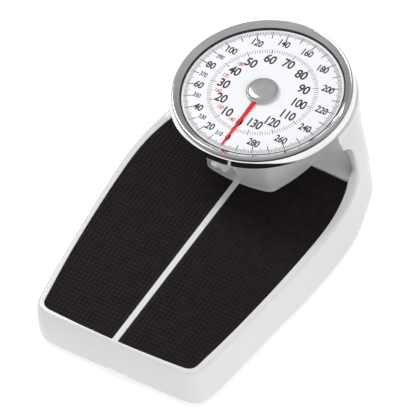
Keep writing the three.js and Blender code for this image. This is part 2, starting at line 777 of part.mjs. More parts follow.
addPair('long_lever', longLever(), DARK_STEEL);
addPair('long_lever_fulcrum_pin', crossPin(...FRONT_FULCRUM, 12), STEEL);
addPair('long_lever_load_pin', crossPin(longLoadX, longLoadY, 10), STEEL);
addPair('short_lever', shortLever(), DARK_STEEL);
addPair('short_lever_fulcrum_pin', crossPin(...REAR_FULCRUM, 12), STEEL);
addPair('short_lever_load_pin', crossPin(shortLoadX, shortLoadY, 10), STEEL);
addPair('front_fulcrum_bracket', fulcrumBracket(FRONT_FULCRUM), DARK_STEEL);
addPair('rear_fulcrum_bracket', fulcrumBracket(REAR_FULCRUM), DARK_STEEL);

add('base_pan', basePan(), DARK_STEEL);
addPair('front_foot', rubberFoot(80, -176), RUBBER);
addPair('rear_foot', rubberFoot(88, 128), RUBBER);
add('zero_knob', zeroKnob(), KNOB);
add('zero_rod', zeroRod(), STEEL);
add('front_rod_bearing', rodBearing(-186), DARK_STEEL);
add('rear_rod_bearing', rodBearing(24), DARK_STEEL);
add('zero_nut', zeroNut(), BRASS);

export default scale;
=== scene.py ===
"""A mechanical dial platform scale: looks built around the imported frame."""

import json
import math

import bmesh
import bpy
import numpy as np
from mathutils import Matrix, Vector
from mathutils.geometry import delaunay_2d_cdt


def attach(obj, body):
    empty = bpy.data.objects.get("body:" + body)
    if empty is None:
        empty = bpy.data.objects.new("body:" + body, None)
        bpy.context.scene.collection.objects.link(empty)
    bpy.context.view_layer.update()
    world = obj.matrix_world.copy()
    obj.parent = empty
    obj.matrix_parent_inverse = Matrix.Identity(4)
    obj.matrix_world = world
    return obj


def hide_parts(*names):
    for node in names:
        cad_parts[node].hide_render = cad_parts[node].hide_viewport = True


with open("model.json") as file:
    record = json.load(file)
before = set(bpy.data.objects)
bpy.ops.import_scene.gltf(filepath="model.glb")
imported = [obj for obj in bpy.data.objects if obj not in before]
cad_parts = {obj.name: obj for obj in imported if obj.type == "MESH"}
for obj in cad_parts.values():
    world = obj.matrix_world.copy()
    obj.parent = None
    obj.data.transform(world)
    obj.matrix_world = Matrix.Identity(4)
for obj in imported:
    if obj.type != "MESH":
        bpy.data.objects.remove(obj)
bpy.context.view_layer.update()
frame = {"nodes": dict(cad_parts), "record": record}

MM = 0.001

# ---------------------------------------------------------------- sizes, in mm, in the row frame
LOWER_EDGE_Z = 8.0
DECK_Z = 55.0
RIM_Z = 55.4
WALL = 2.6
LID_THICK = 2.4
HEAD_Y = 110.3
HEAD_R = 100.3
FLARE_R = 101.8
HEAD_TOP_Z = 123.2
DIAL_Z = 132.0
MAT_THICK = 1.6
MAT_SEAT_Z = DECK_Z - MAT_THICK - 0.25
DIVIDER_HALF = 3.7
POCKET_BACK_Y = 115.0
POCKET_TOP_Z = 92.0
POCKET_HALF_LOW = 107.0
POCKET_HALF_HIGH = 97.0
RIM_ROUND = 3.6
BELLY = 1.6
PEDESTAL_TOP_Z = 100.0
COLUMN_TOP_Z = 118.0
MAT_GAP = 0.4
MAT_BACK_Y = 98.5
KNOB_NOTCH_HALF = 13.0
KNOB_NOTCH_Z = LOWER_EDGE_Z + 2.5
WINDOW_R = 88.0
BEZEL_LOW_Z = 124.7
DIAL_PLATE_R = 91.2
DIAL_SKIRT_R = 92.4
TICK_OUTER_R = 85.0
KG_TICK_OUTER_R = 60.0
LENS_R = 86.8
POINTER_LENGTH = 82.0
HUB_LOW_Z, HUB_TOP_Z = 134.2, 138.3
HUB_R = 17.6
# the two corners of the box, in plan, that the outline grids cover
PLAN_LOW, PLAN_HIGH = (-150, -225), (150, 228)


# ---------------------------------------------------------------- camera
def look_from(azimuth, elevation, roll, distance, target, lens):
    a, e, w = (math.radians(v) for v in (azimuth, elevation, roll))
    back = Vector((math.sin(a) * math.cos(e), -math.cos(a) * math.cos(e), math.sin(e)))
    side = Vector((math.cos(a), math.sin(a), 0))
    rise = back.cross(side)
    right = side * math.cos(w) + rise * math.sin(w)
    up = -side * math.sin(w) + rise * math.cos(w)
    data = bpy.data.cameras.new("camera")
    data.lens = lens
    data.sensor_width = 36
    data.clip_end = 50
    camera = bpy.data.objects.new("camera", data)
    place = Matrix((right, up, back)).transposed().to_4x4()
    place.translation = Vector(target) + back * distance
    camera.matrix_world = place
    bpy.context.scene.collection.objects.link(camera)
    bpy.context.scene.camera = camera


look_from(39.77, 50.05, -9.75, 6.355, (-0.0090, -0.0017, 0.055), 517.3)


# ---------------------------------------------------------------- plane curves
def quad(path, control, end, steps=12):
    (x0, y0), (cx, cy), (x1, y1) = path[-1], control, end
    for i in range(1, steps + 1):
        t = i / steps
        a, b, c = (1 - t) ** 2, 2 * t * (1 - t), t * t
        path.append((a * x0 + b * cx + c * x1, a * y0 + b * cy + c * y1))


def spline(path, points, steps=10):
    """A smooth curve on from the path's end through the points."""
    knots = [path[-1]] + list(points)
    count = len(knots)
    for i in range(count - 1):
        p0 = knots[max(i - 1, 0)]
        p1, p2 = knots[i], knots[i + 1]
        p3 = knots[min(i + 2, count - 1)]
        for j in range(1, steps + 1):
            t = j / steps
            path.append(
                tuple(
                    0.5
                    * (
                        2 * p1[k]
                        + (p2[k] - p0[k]) * t
                        + (2 * p0[k] - 5 * p1[k] + 4 * p2[k] - p3[k]) * t * t
                        + (3 * p1[k] - p0[k] - 3 * p2[k] + p3[k]) * t**3
                    )
                    for k in (0, 1)
                )
            )


def mirrored(half):
    left = [(-x, y) for x, y in reversed(half) if x > 1e-6]
    return half + left


def evenly(points, step):
    """The closed curve again, with points the same distance apart."""
    p = np.array(points + [points[0]], float)
    run = np.concatenate([[0], np.cumsum(np.hypot(*np.diff(p, axis=0).T))])
    count = max(8, int(run[-1] / step))
    at = np.linspace(0, run[-1], count, endpoint=False)
    return np.stack([np.interp(at, run, p[:, 0]), np.interp(at, run, p[:, 1])], 1)


BACK_SIDES = [(109, 136), (92.5, 156), (76.7, 174.9)]


def cover_outline(front, corner, sides):
    """The cover in plan: a slightly bowed front, a round corner, the side and a round back."""
    path = [(0, front)]
    quad(path, (corner[0] / 2, front), (corner[0] - 21, front + 0.8))
    spline(path, [(corner[0] - 13, front + 2.4), (corner[0] - 6, front + 5.7)], 5)
    spline(path, [(corner[0] - 2.3, front + 9.5), corner], 5)
    spline(path, sides)
    x, y = sides[-1]
    start = math.atan2(y - HEAD_Y, x)
    for i in range(1, 31):
        turn = start + (math.pi / 2 - start) * i / 30
        path.append((HEAD_R * math.cos(turn), HEAD_Y + HEAD_R * math.sin(turn)))
    return evenly(mirrored(path), 3)


LOWER = cover_outline(
    -206,
    (105.6, -190),
    [(108.6, -177), (112.5, -152), (121, -81), (129, -22), (131.8, 31), (129.4, 70), (118.5, 111)]
    + BACK_SIDES,
)
UPPER = cover_outline(
    -203.6,
    (104, -188),
    [(106.6, -173), (110.5, -146), (118.5, -81), (125, -20), (128, 23), (126, 66), (117, 108)] + BACK_SIDES,
)


def mat_outline():
    """Both mats together, in plan."""
    path = [(0, -199)]
    quad(path, (44, -199), (84, -196.4))
    quad(path, (95, -195.6), (96, -186))
    spline(path, [(105, -131), (113, -64), (118.3, 3), (118.6, 42), (114, 74), (106.5, MAT_BACK_Y)])
    path.append((0, MAT_BACK_Y))
    return evenly(mirrored(path), 3)


def pedestal_outline():
    """The foot that carries the dial head, in plan at deck height."""
    path = [(0, 43)]
    quad(path, (20, 43.4), (35, 46.5))
    quad(path, (42, 48), (44, 54))
    quad(path, (52, 70), (57, 90))
    quad(path, (60, 100), (61, 125))
    path.append((0, 125))
    return evenly(mirrored(path), 2)


# ---------------------------------------------------------------- distance fields
class Plane2D:
    """Signed distance to a closed outline, read back smoothly from a grid."""

    def __init__(self, outline, low, high, step):
        self.low, self.step = low, step
        nx = int((high[0] - low[0]) / step) + 1
        ny = int((high[1] - low[1]) / step) + 1
        x = low[0] + step * np.arange(nx)[:, None]
        y = low[1] + step * np.arange(ny)[None, :]
        best = np.full((nx, ny), 1e18)
        inside = np.zeros((nx, ny), bool)
        for (ax, ay), (bx, by) in zip(outline, np.roll(outline, -1, 0)):
            ex, ey = bx - ax, by - ay
            share = np.clip(((x - ax) * ex + (y - ay) * ey) / (ex * ex + ey * ey + 1e-12), 0, 1)
            best = np.minimum(best, (x - ax - share * ex) ** 2 + (y - ay - share * ey) ** 2)
            if ay != by:
                crosses = (ay > y) != (by > y)
                inside ^= crosses & (x < ax + ex * (y - ay) / ey)
        self.grid = np.sqrt(best) * np.where(inside, -1, 1)

    def __call__(self, x, y):
        u = (x - self.low[0]) / self.step
        v = (y - self.low[1]) / self.step
        nx, ny = self.grid.shape
        i = np.clip(np.floor(u).astype(int), 1, nx - 3)
        j = np.clip(np.floor(v).astype(int), 1, ny - 3)
        wu, wv = bspline(np.clip(u - i, 0, 1)), bspline(np.clip(v - j, 0, 1))
        total = 0
        for a in range(4):
            row = 0
            for b in range(4):
                row = row + wv[b] * self.grid[i + a - 1, j + b - 1]
            total = total + wu[a] * row
        return total


def bspline(t):
    """Weights of the four grid values round a place, t of the way along the middle step."""
    return (
        (1 - t) ** 3 / 6,
        (3 * t**3 - 6 * t**2 + 4) / 6,
        (-3 * t**3 + 3 * t**2 + 3 * t + 1) / 6,
        t**3 / 6,
    )


def smin(a, b, k):
    """The smaller distance, blended over k."""
    h = np.maximum(k - np.abs(a - b), 0) / k
    return np.minimum(a, b) - h * h * k / 4


def smax(a, b, k):
    return -smin(-a, -b, k)


def rounded(a, b, r):
    """Both solids' common part, with its edge rounded."""
    u, v = np.maximum(a + r, 0), np.maximum(b + r, 0)
    return np.minimum(np.maximum(a, b), -r) + np.sqrt(u * u + v * v)


def ease(t):
    t = np.clip(t, 0, 1)
    return t * t * (3 - 2 * t)


COARSE = 1.5
lower_d = Plane2D(LOWER, PLAN_LOW, PLAN_HIGH, COARSE)
upper_d = Plane2D(UPPER, PLAN_LOW, PLAN_HIGH, COARSE)
mat_d = Plane2D(mat_outline(), PLAN_LOW, PLAN_HIGH, COARSE)
pedestal_d = Plane2D(pedestal_outline(), PLAN_LOW, PLAN_HIGH, COARSE)


def sweep_profile():
    """The rim's top and the wings' front edge, seen from the side, as the outline of the solid below."""
    path = [(-320, -60), (-320, RIM_Z), (76, RIM_Z)]
    quad(path, (100, RIM_Z), (106, 66.5))
    quad(path, (110.5, 76), (111.3, 88))
    # the wings lean forward at the top and run out along the lip of the dial head
    quad(path, (111.8, 98), (95, 104.5))
    quad(path, (84, 109), (72, 112.5))
    quad(path, (50, 117), (10, 119))
    path += [(-320, 120), (-320, 240), (420, 240), (420, -60)]
    return evenly(path, 1.5)


def bowl_profile():
    """The dial head's underside and flare, as (radius, z)."""
    path = [(-60, POCKET_TOP_Z), (82, POCKET_TOP_Z)]
    quad(path, (88.5, POCKET_TOP_Z), (90.6, 98))
    quad(path, (93.6, 110), (FLARE_R - 1.5, 115))
    quad(path, (FLARE_R, 115.8), (FLARE_R, 117.6))
    path += [(FLARE_R - 0.7, 120.6), (HEAD_R - 1.2, HEAD_TOP_Z), (-60, HEAD_TOP_Z)]
    return evenly(path, 0.6)


sweep_d = Plane2D(sweep_profile(), (-225, -10), (228, 135), 1.0)
bowl_d = Plane2D(bowl_profile(), (-8, 40), (210, 135), 0.5)


def pedestal_at(x, y, z):
    """The pedestal, which widens upwards from a point well behind its front."""
    grow = 1 + 0.24 * np.clip((z - 57) / 39, 0, 1.1) ** 2.2
    return pedestal_d(x / grow, 100 + (y - 100) / grow) * grow


def seat_wall_at(x, y, z):
    """The upright walls of the mats' seats."""
    divider = DIVIDER_HALF - MAT_GAP - np.abs(x)
    return np.maximum(np.maximum(mat_d(x, y) - MAT_GAP, divider), MAT_GAP - pedestal_d(x, y))


def recess_at(x, y, z):
    """The seats that the mats lie in."""
    return np.maximum(seat_wall_at(x, y, z), MAT_SEAT_Z - z)


def side_at(x, y, z):
    """The outer wall: it draws in a little up to the deck, then leans in to the dial head's ring."""
    wall_top = DECK_Z - 2
    over = np.clip(z - wall_top, 0, None)
    share = np.clip(z - LOWER_EDGE_Z, -9, wall_top - LOWER_EDGE_Z) + 12 * (1 - np.exp(-over / 12))
    share = share / (wall_top - LOWER_EDGE_Z)
    wall = lower_d(x, y) * (1 - share) + upper_d(x, y) * share
    swell = np.sin(math.pi * np.clip((z - LOWER_EDGE_Z) / 44, 0, 1)) ** 0.8
    wall = wall - BELLY * swell * np.clip((70 - y) / 190, 0, 1)
    ring = np.hypot(x, y - HEAD_Y) - FLARE_R + 0.1
    lean = np.clip((z - 56) / 60, 0, 1) ** 1.6
    return wall + (ring - wall) * lean


# the least blend width, because a blend over nothing would divide by zero
SHARP = 0.05


def body_at(x, y, z):
    """The cover's outer skin, open below."""
    column = rounded(side_at(x, y, z), sweep_d(y + 0 * z, z + 0 * y), RIM_ROUND)
    up = np.minimum((z - DECK_Z) / (POCKET_TOP_Z - DECK_Z), 1)
    half = POCKET_HALF_LOW + (POCKET_HALF_HIGH - POCKET_HALF_LOW) * up
    pocket = smax(np.abs(x) - half, y - POCKET_BACK_Y, 7)
    pocket = smax(pocket, z - POCKET_TOP_Z - 6, 4)
    pocket = np.maximum(pocket, RIM_Z - z)
    high = np.clip((z - 57) / 8, 0, 1)
    # the pocket's mouth is soft at the deck and crisp under the dial head
    soft = 1.5 + 9 * (1 - ease((z - 60) / 28))
    column = smax(column, -pocket, SHARP + soft * high)
    column = np.maximum(column, z - COLUMN_TOP_Z)
    radius = np.hypot(x, y - HEAD_Y)
    foot = np.maximum(pedestal_at(x, y, z), z - PEDESTAL_TOP_Z)
    head = smin(foot, bowl_d(radius + 0 * z, z + 0 * radius), 7)
    web = np.exp(-(((y - 102) / 16) ** 2))
    both = smin(column, head, SHARP + (4 + 10 * web) * high)
    # the blend never swells beyond the flare's own rim
    return np.maximum(both, np.minimum(column, radius - FLARE_R))


def cover_at(x, y, z):
    """The whole moulded shell, with the mats' seats, the knob's notch and the dial's window."""
    body = body_at(x, y, z)
    recess = recess_at(x, y, z)
    hollow = np.maximum(body + WALL, LID_THICK - recess)
    notch = np.maximum(np.maximum(np.abs(x) - KNOB_NOTCH_HALF, y + 195), z - KNOB_NOTCH_Z)
    window = np.maximum(np.hypot(x, y - HEAD_Y) - WINDOW_R, 110 - z)
    solid = np.maximum(np.maximum(body, LOWER_EDGE_Z - z), -hollow)
    return np.maximum(np.maximum(solid, -recess), np.maximum(-notch, -window))


# ---------------------------------------------------------------- skin of a distance field
def levels(*runs):
    """Grid heights: each run is (start, end, step)."""
    out = []
    for start, end, step in runs:
        count = max(1, round((end - start) / step))
        out += list(np.linspace(start, end, count, endpoint=False))
    return np.array(out + [runs[-1][1]])


def skin(field, xs, ys, zs):
    """The field's zero surface as quads, one point for each grid cell that it crosses."""
    value = field(xs[:, None, None], ys[None, :, None], zs[None, None, :])
    value = np.broadcast_to(value, (len(xs), len(ys), len(zs)))
    value = np.where(np.abs(value) < 1e-6, 1e-6, value)
    inside = value < 0
    cells = tuple(n - 1 for n in value.shape)
    total = np.zeros(cells + (3,))
    count = np.zeros(cells)
    grids = (xs, ys, zs)
    for axis in range(3):
        first = [slice(None)] * 3
        second = [slice(None)] * 3
        first[axis], second[axis] = slice(0, -1), slice(1, None)
        va, vb = value[tuple(first)], value[tuple(second)]
        cut = (va < 0) != (vb < 0)
        where = np.nonzero(cut)
        share = va[where] / (va[where] - vb[where])
        point = np.stack([grids[k][where[k]] for k in range(3)], 1)
        step = grids[axis][where[axis] + 1] - grids[axis][where[axis]]
        point[:, axis] += share * step
        others = [k for k in range(3) if k != axis]
        for da in (0, 1):
            for db in (0, 1):
                cell = [w.copy() for w in where]
                cell[others[0]] -= da
                cell[others[1]] -= db
                good = np.ones(len(cell[0]), bool)
                for k in range(3):
                    good &= (cell[k] >= 0) & (cell[k] < cells[k])
                at = tuple(c[good] for c in cell)
                np.add.at(total, at, point[good])
                np.add.at(count, at, 1)
    used = count > 0
    index = np.full(cells, -1)
    index[used] = np.arange(used.sum())
    points = total[used] / count[used][:, None]
    faces = []
    for axis in range(3):
        first = [slice(None)] * 3
        second = [slice(None)] * 3
        first[axis], second[axis] = slice(0, -1), slice(1, None)
        cut = inside[tuple(first)] != inside[tuple(second)]
        where = np.nonzero(cut)
        a, b = [k for k in range(3) if k != axis]
        good = (where[a] > 0) & (where[b] > 0) & (where[a] < cells[a]) & (where[b] < cells[b])
        where = [w[good] for w in where]
        start = inside[tuple(first)][tuple(where)]
        corner = []
        for da, db in ((1, 1), (0, 1), (0, 0), (1, 0)):
            cell = [w.copy() for w in where]
            cell[a] -= da
            cell[b] -= db
            corner.append(index[tuple(cell)])
        quads = np.stack(corner, 1)
        flip = start if axis == 1 else ~start
        quads[flip] = quads[flip][:, ::-1]
        faces.append(quads)
    return points, np.concatenate(faces)


def slope(field, p, reach=0.05):
    """The field's gradient at points."""
    out = []
    for k in range(3):
        step = np.zeros(3)
        step[k] = reach
        ahead, behind = p + step, p - step
        out.append((field(*ahead.T) - field(*behind.T)) / (2 * reach))
    return np.stack(out, 1)


def settle(field, p, rounds=2, reach=0.7):
    """Moves points onto the field's zero surface."""
    for _ in range(rounds):
        grade = slope(field, p)
        move = (field(*p.T) / np.maximum((grade**2).sum(1), 0.2))[:, None] * grade
        length = np.linalg.norm(move, axis=1, keepdims=True)
        p = p - move * np.minimum(1, reach / np.maximum(length, 1e-9))
    return p


def crease(p, first, second, near):
    """Brings points near both surfaces onto the edge where they meet."""
    a, b = first(*p.T), second(*p.T)
    pick = (np.abs(a) < near) & (np.abs(b) < near)
    q = p[pick]
    for _ in range(4):
        for field in (first, second):
            grade = slope(field, q)
            q = q - (field(*q.T) / np.maximum((grade**2).sum(1), 0.2))[:, None] * grade
    p[pick] = q
    return p


# ---------------------------------------------------------------- materials
def shader(name):
    """A new node material and its main shader."""
    material = bpy.data.materials.new(name)
    material.use_nodes = True
    tree = material.node_tree
    return material, tree, tree.nodes["Principled BSDF"]


def node(tree, kind, **values):
    """A new node, with its settings or input values."""
    new = tree.nodes.new(kind)
    for key, value in values.items():
        if hasattr(new, key):
            setattr(new, key, value)
        else:
            new.inputs[key.replace("_", " ")].default_value = value
    return new


def noise(tree, scale, detail=3, stretch=None):
    """Noise fixed to the object's own coordinates."""
    place = node(tree, "ShaderNodeTexCoord")
    made = node(tree, "ShaderNodeTexNoise", Scale=scale, Detail=detail)
    if stretch:
        drawn = node(tree, "ShaderNodeMapping")
        drawn.inputs["Scale"].default_value = stretch
        tree.links.new(place.outputs["Object"], drawn.inputs["Vector"])
        tree.links.new(drawn.outputs["Vector"], made.inputs["Vector"])
    else:
        tree.links.new(place.outputs["Object"], made.inputs["Vector"])
    return made


def ramp(tree, source, low, high, start=0.35, end=0.65):
    """A value turned into a colour between two."""
    made = node(tree, "ShaderNodeValToRGB")
    bands = made.color_ramp.elements
    bands[0].position, bands[1].position = start, end
    bands[0].color, bands[1].color = (*low, 1), (*high, 1)
    tree.links.new(source, made.inputs["Fac"])
    return made.outputs["Color"]


def spread(tree, source, low, high):
    """A value from 0 to 1 spread between two numbers."""
    made = node(tree, "ShaderNodeMapRange")
    made.inputs["To Min"].default_value = low
    made.inputs["To Max"].default_value = high
    tree.links.new(source, made.inputs["Value"])
    return made.outputs["Result"]


def bumped(tree, bsdf, source, strength, depth):
    made = node(tree, "ShaderNodeBump", Strength=strength, Distance=depth)
    tree.links.new(source, made.inputs["Height"])
    tree.links.new(made.outputs["Normal"], bsdf.inputs["Normal"])


def finish_of(name, low, high, rough, scale=60, metal=0.0, coat=0.0, bump=None, stretch=None, spec=0.5):
    """A finish whose colour and roughness drift a little over the surface."""
    material, tree, bsdf = shader(name)
    drift = noise(tree, scale, stretch=stretch)
    tree.links.new(ramp(tree, drift.outputs["Fac"], low, high), bsdf.inputs["Base Color"])
    tree.links.new(spread(tree, drift.outputs["Fac"], *rough), bsdf.inputs["Roughness"])
    bsdf.inputs["Metallic"].default_value = metal
    bsdf.inputs["Coat Weight"].default_value = coat
    bsdf.inputs["Coat Roughness"].default_value = 0.08
    bsdf.inputs["Specular IOR Level"].default_value = spec
    if bump:
        fine = noise(tree, bump[0], 2, stretch=stretch)
        bumped(tree, bsdf, fine.outputs["Fac"], bump[1], bump[2])
    return material


white_enamel = finish_of(
    "white_enamel",
    (0.672, 0.674, 0.684),
    (0.686, 0.688, 0.698),
    (0.27, 0.30),
    9,
    coat=0.3,
    bump=(700, 0.03, 0.0002),
)
mat_rubber = finish_of(
    "ribbed_mat",
    (0.0075, 0.0045, 0.0058),
    (0.0115, 0.0075, 0.009),
    (0.5, 0.62),
    90,
    bump=(900, 0.25, 0.0003),
    spec=0.14,
)
chrome = finish_of("chrome", (0.70, 0.70, 0.69), (0.76, 0.76, 0.75), (0.06, 0.10), 40, 1.0)
steel = finish_of("steel", (0.42, 0.43, 0.45), (0.55, 0.56, 0.58), (0.28, 0.42), 160, 1.0, stretch=(1, 1, 12))
dark_steel = finish_of("dark_steel", (0.05, 0.052, 0.056), (0.09, 0.092, 0.098), (0.4, 0.6), 120, 0.8)
rubber = finish_of(
    "rubber", (0.012, 0.012, 0.013), (0.024, 0.024, 0.025), (0.7, 0.9), 200, bump=(1500, 0.3, 0.0002)
)
face_enamel = finish_of("dial_face", (0.915, 0.915, 0.945), (0.925, 0.925, 0.955), (0.42, 0.5), 30)
dial_ink = finish_of("dial_ink", (0.022, 0.018, 0.022), (0.035, 0.03, 0.034), (0.45, 0.6), 400)
red_ink = finish_of("red_ink", (0.66, 0.06, 0.07), (0.72, 0.09, 0.1), (0.45, 0.6), 400)
pointer_red = finish_of(
    "pointer_red", (0.74, 0.008, 0.014), (0.8, 0.012, 0.02), (0.4, 0.5), 200, spec=0.3
)
cap_metal = finish_of("cap_metal", (0.78, 0.78, 0.765), (0.84, 0.84, 0.825), (0.10, 0.16), 120, 1.0)
brass = finish_of("brass", (0.52, 0.36, 0.14), (0.62, 0.45, 0.2), (0.25, 0.4), 150, 1.0)
knob_black = finish_of(
    "knob_black", (0.015, 0.015, 0.016), (0.03, 0.03, 0.031), (0.4, 0.55), 300, bump=(1200, 0.2, 0.0002)
)


def clear_lens():
    """Nearly invisible, with the room's reflection on it."""
    material, tree, bsdf = shader("lens_clear")
    drift = noise(tree, 14)
    tree.links.new(spread(tree, drift.outputs["Fac"], 0.02, 0.05), bsdf.inputs["Roughness"])
    tint = ramp(tree, drift.outputs["Fac"], (0.02, 0.022, 0.024), (0.03, 0.032, 0.034))
    tree.links.new(tint, bsdf.inputs["Base Color"])
    bsdf.inputs["Alpha"].default_value = 0.02
    bsdf.inputs["Specular IOR Level"].default_value = 1.0
    return material


lens_clear = clear_lens()


# ---------------------------------------------------------------- meshes
def made(name, points, faces, material, smooth=True, sharp=35):
    """A mesh object from points in mm."""
    mesh = bpy.data.meshes.new(name)
    mesh.from_pydata((np.asarray(points, float) * MM).tolist(), [], [list(f) for f in faces])
    mesh.validate()
    mesh.materials.append(material)
    mesh.polygons.foreach_set("use_smooth", [smooth] * len(mesh.polygons))
    if smooth:
        mesh.set_sharp_from_angle(angle=math.radians(sharp))
    mesh.update()
    piece = bpy.data.objects.new(name, mesh)
    bpy.context.scene.collection.objects.link(piece)
    return piece


def face_outwards(piece, cut_large=False):
    """Turns every face outwards, and cuts up faces of more than four corners if asked."""
    bm = bmesh.new()
    bm.from_mesh(piece.data)
    if cut_large:
        bmesh.ops.triangulate(bm, faces=[f for f in bm.faces if len(f.verts) > 4])
    bmesh.ops.recalc_face_normals(bm, faces=bm.faces)
    bm.to_mesh(piece.data)
    bm.free()


def placed(piece, body, slot, *nodes):
    """Ties a piece to its body, in place of CAD nodes if any are named; its slot argument is not used."""
    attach(piece, body)
    if nodes:
        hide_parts(*nodes)
    return piece


def revolved(profile, center=(0, HEAD_Y), sides=192):
    """A closed (radius, z) profile turned round an upright axis."""
    points, faces, rings = [], [], []
    for r, z in profile:
        if r < 1e-6:
            rings.append([len(points)] * sides)
            points.append((center[0], center[1], z))
            continue
        rings.append(list(range(len(points), len(points) + sides)))
        for i in range(sides):
            turn = 2 * math.pi * i / sides
            points.append((center[0] + r * math.cos(turn), center[1] + r * math.sin(turn), z))
    for a, b in zip(rings, rings[1:] + rings[:1]):
        if a[0] == a[1] and b[0] == b[1]:
            continue
        for i in range(sides):
            j = (i + 1) % sides
            face = [a[i], a[j], b[j], b[i]]
            unique = list(dict.fromkeys(face))
            if len(unique) > 2:
                faces.append(unique)
    return points, faces


def build_cover():
    """The moulded cover, with its sharp edges drawn onto the lines where two surfaces meet."""
    flat = 1.35
    xs = levels((-136.1, 136.1, flat))
    ys = levels((-213.1, 215.1, flat))
    zs = levels((6.6, 11, 0.9), (11, 49, 2.6), (49, 57.4, 0.6), (57.4, 88, 1.6), (88, 125, 1.1))
    points, faces = skin(cover_at, xs, ys, zs)
    points = settle(cover_at, points)

    def rim(x, y, z):
        return z - RIM_Z + 0 * x

    def bottom(x, y, z):
        return LOWER_EDGE_Z - z + 0 * x

    def inner_wall(x, y, z):
        return side_at(x, y, z) + WALL

    near = 0.75 * flat
    points = crease(points, rim, seat_wall_at, near)
    points = crease(points, bottom, side_at, near)
    points = crease(points, bottom, inner_wall, near)
    piece = made("cover_shell", points, faces, white_enamel, sharp=40)
    return placed(piece, "platform", "cover_white", "platform_cover")


build_cover()


# ---------------------------------------------------------------- mats
MAT_PITCH = 5.0
MAT_BEVEL = 0.45
MAT_EDGE_DROP = 0.35
GROOVE = 0.75
GROOVE_DEPTH = 0.45
ON_LINE = 0.02


def grown(outline, distance):
    """The outline moved outwards by a distance, point by point."""
    ahead, behind = np.roll(outline, -1, 0), np.roll(outline, 1, 0)
    along = ahead - behind
    along /= np.linalg.norm(along, axis=1, keepdims=True)
    return outline + distance * np.stack([along[:, 1], -along[:, 0]], 1)


def half_mat(inset):
    """The right mat's outline, moved inwards."""
    outer = grown(mat_outline(), -inset)
    foot = grown(pedestal_outline(), 2 * MAT_GAP + inset)
    left, back = DIVIDER_HALF + inset, MAT_BACK_Y - inset
    # the outer edge, from the divider's front round to the back
    right = [tuple(p) for p in outer if p[0] > left + 0.3 and p[1] < back - 0.3]
    right.sort(key=lambda p: math.atan2(p[1] - 20, p[0] - 40) if not (p[1] > 20 and p[0] < 40) else 9)
    ring = [p for p in foot if p[0] > left + 0.3 and p[1] < back - 0.3]
    ring.sort(key=lambda p: -p[1] + 0.3 * -p[0])
    start_y = max(p[1] for p in outer if abs(p[0] - left) < 4 and p[1] < 0)
    # then back along the pedestal's foot to the divider
    edge = [(left, start_y)] + right
    foot_x = max((p for p in foot if p[0] > 0), key=lambda p: -abs(p[1] - back))[0]
    edge += [(foot_x, back)] + ring
    edge.append((left, min(p[1] for p in foot)))
    return np.array(edge)


def within(outline, at):
    """Which points lie inside a closed outline."""
    result = np.zeros(len(at), bool)
    for (ax, ay), (bx, by) in zip(outline, np.roll(outline, -1, 0)):
        if ay == by:
            continue
        crosses = (ay > at[:, 1]) != (by > at[:, 1])
        result ^= crosses & (at[:, 0] < ax + (bx - ax) * (at[:, 1] - ay) / (by - ay))
    return result


def gap_to(outline, at):
    """How far points are from an outline."""
    gap = np.full(len(at), 1e9)
    for (ax, ay), (bx, by) in zip(outline, np.roll(outline, -1, 0)):
        ex, ey = bx - ax, by - ay
        share = ((at[:, 0] - ax) * ex + (at[:, 1] - ay) * ey) / (ex * ex + ey * ey + 1e-12)
        share = np.clip(share, 0, 1)
        gap = np.minimum(gap, np.hypot(at[:, 0] - ax - share * ex, at[:, 1] - ay - share * ey))
    return gap


def groove_lines(verts, edges, low, high, pitch):
    """Adds three lines for each groove, both ways across the mat: its two lips and its bottom."""
    for axis in (0, 1):
        k = math.ceil((low[axis] + 2) / pitch)
        while k * pitch < high[axis] - 2:
            for shift in (-GROOVE, 0, GROOVE):
                ends = [[0, 0], [0, 0]]
                ends[0][axis] = ends[1][axis] = k * pitch + shift
                ends[0][1 - axis] = low[1 - axis] - 5
                ends[1][1 - axis] = high[1 - axis] + 5
                verts += [Vector(e) for e in ends]
                edges.append((len(verts) - 2, len(verts) - 1))
            k += 1


def closed_below(top, faces):
    """The open sheet of faces as a solid, with a wall down from its rim and one face below."""
    sides = {(a, b) for f in faces for a, b in zip(f, f[1:] + f[:1])}
    rim = [(a, b) for f in faces for a, b in zip(f, f[1:] + f[:1]) if (b, a) not in sides]
    rim_points = sorted({v for e in rim for v in e})
    below = {v: len(top) + i for i, v in enumerate(rim_points)}
    points = top + [(top[v][0], top[v][1], DECK_Z - MAT_THICK) for v in rim_points]
    solid = list(faces)
    for a, b in rim:
        solid.append([b, a, below[a], below[b]])
    before = {b: a for a, b in rim}
    start = rim[0][0]
    loop, at = [below[start]], before[start]
    while at != start and len(loop) <= len(rim):
        loop.append(below[at])
        at = before[at]
    solid.append(loop)
    return points, solid


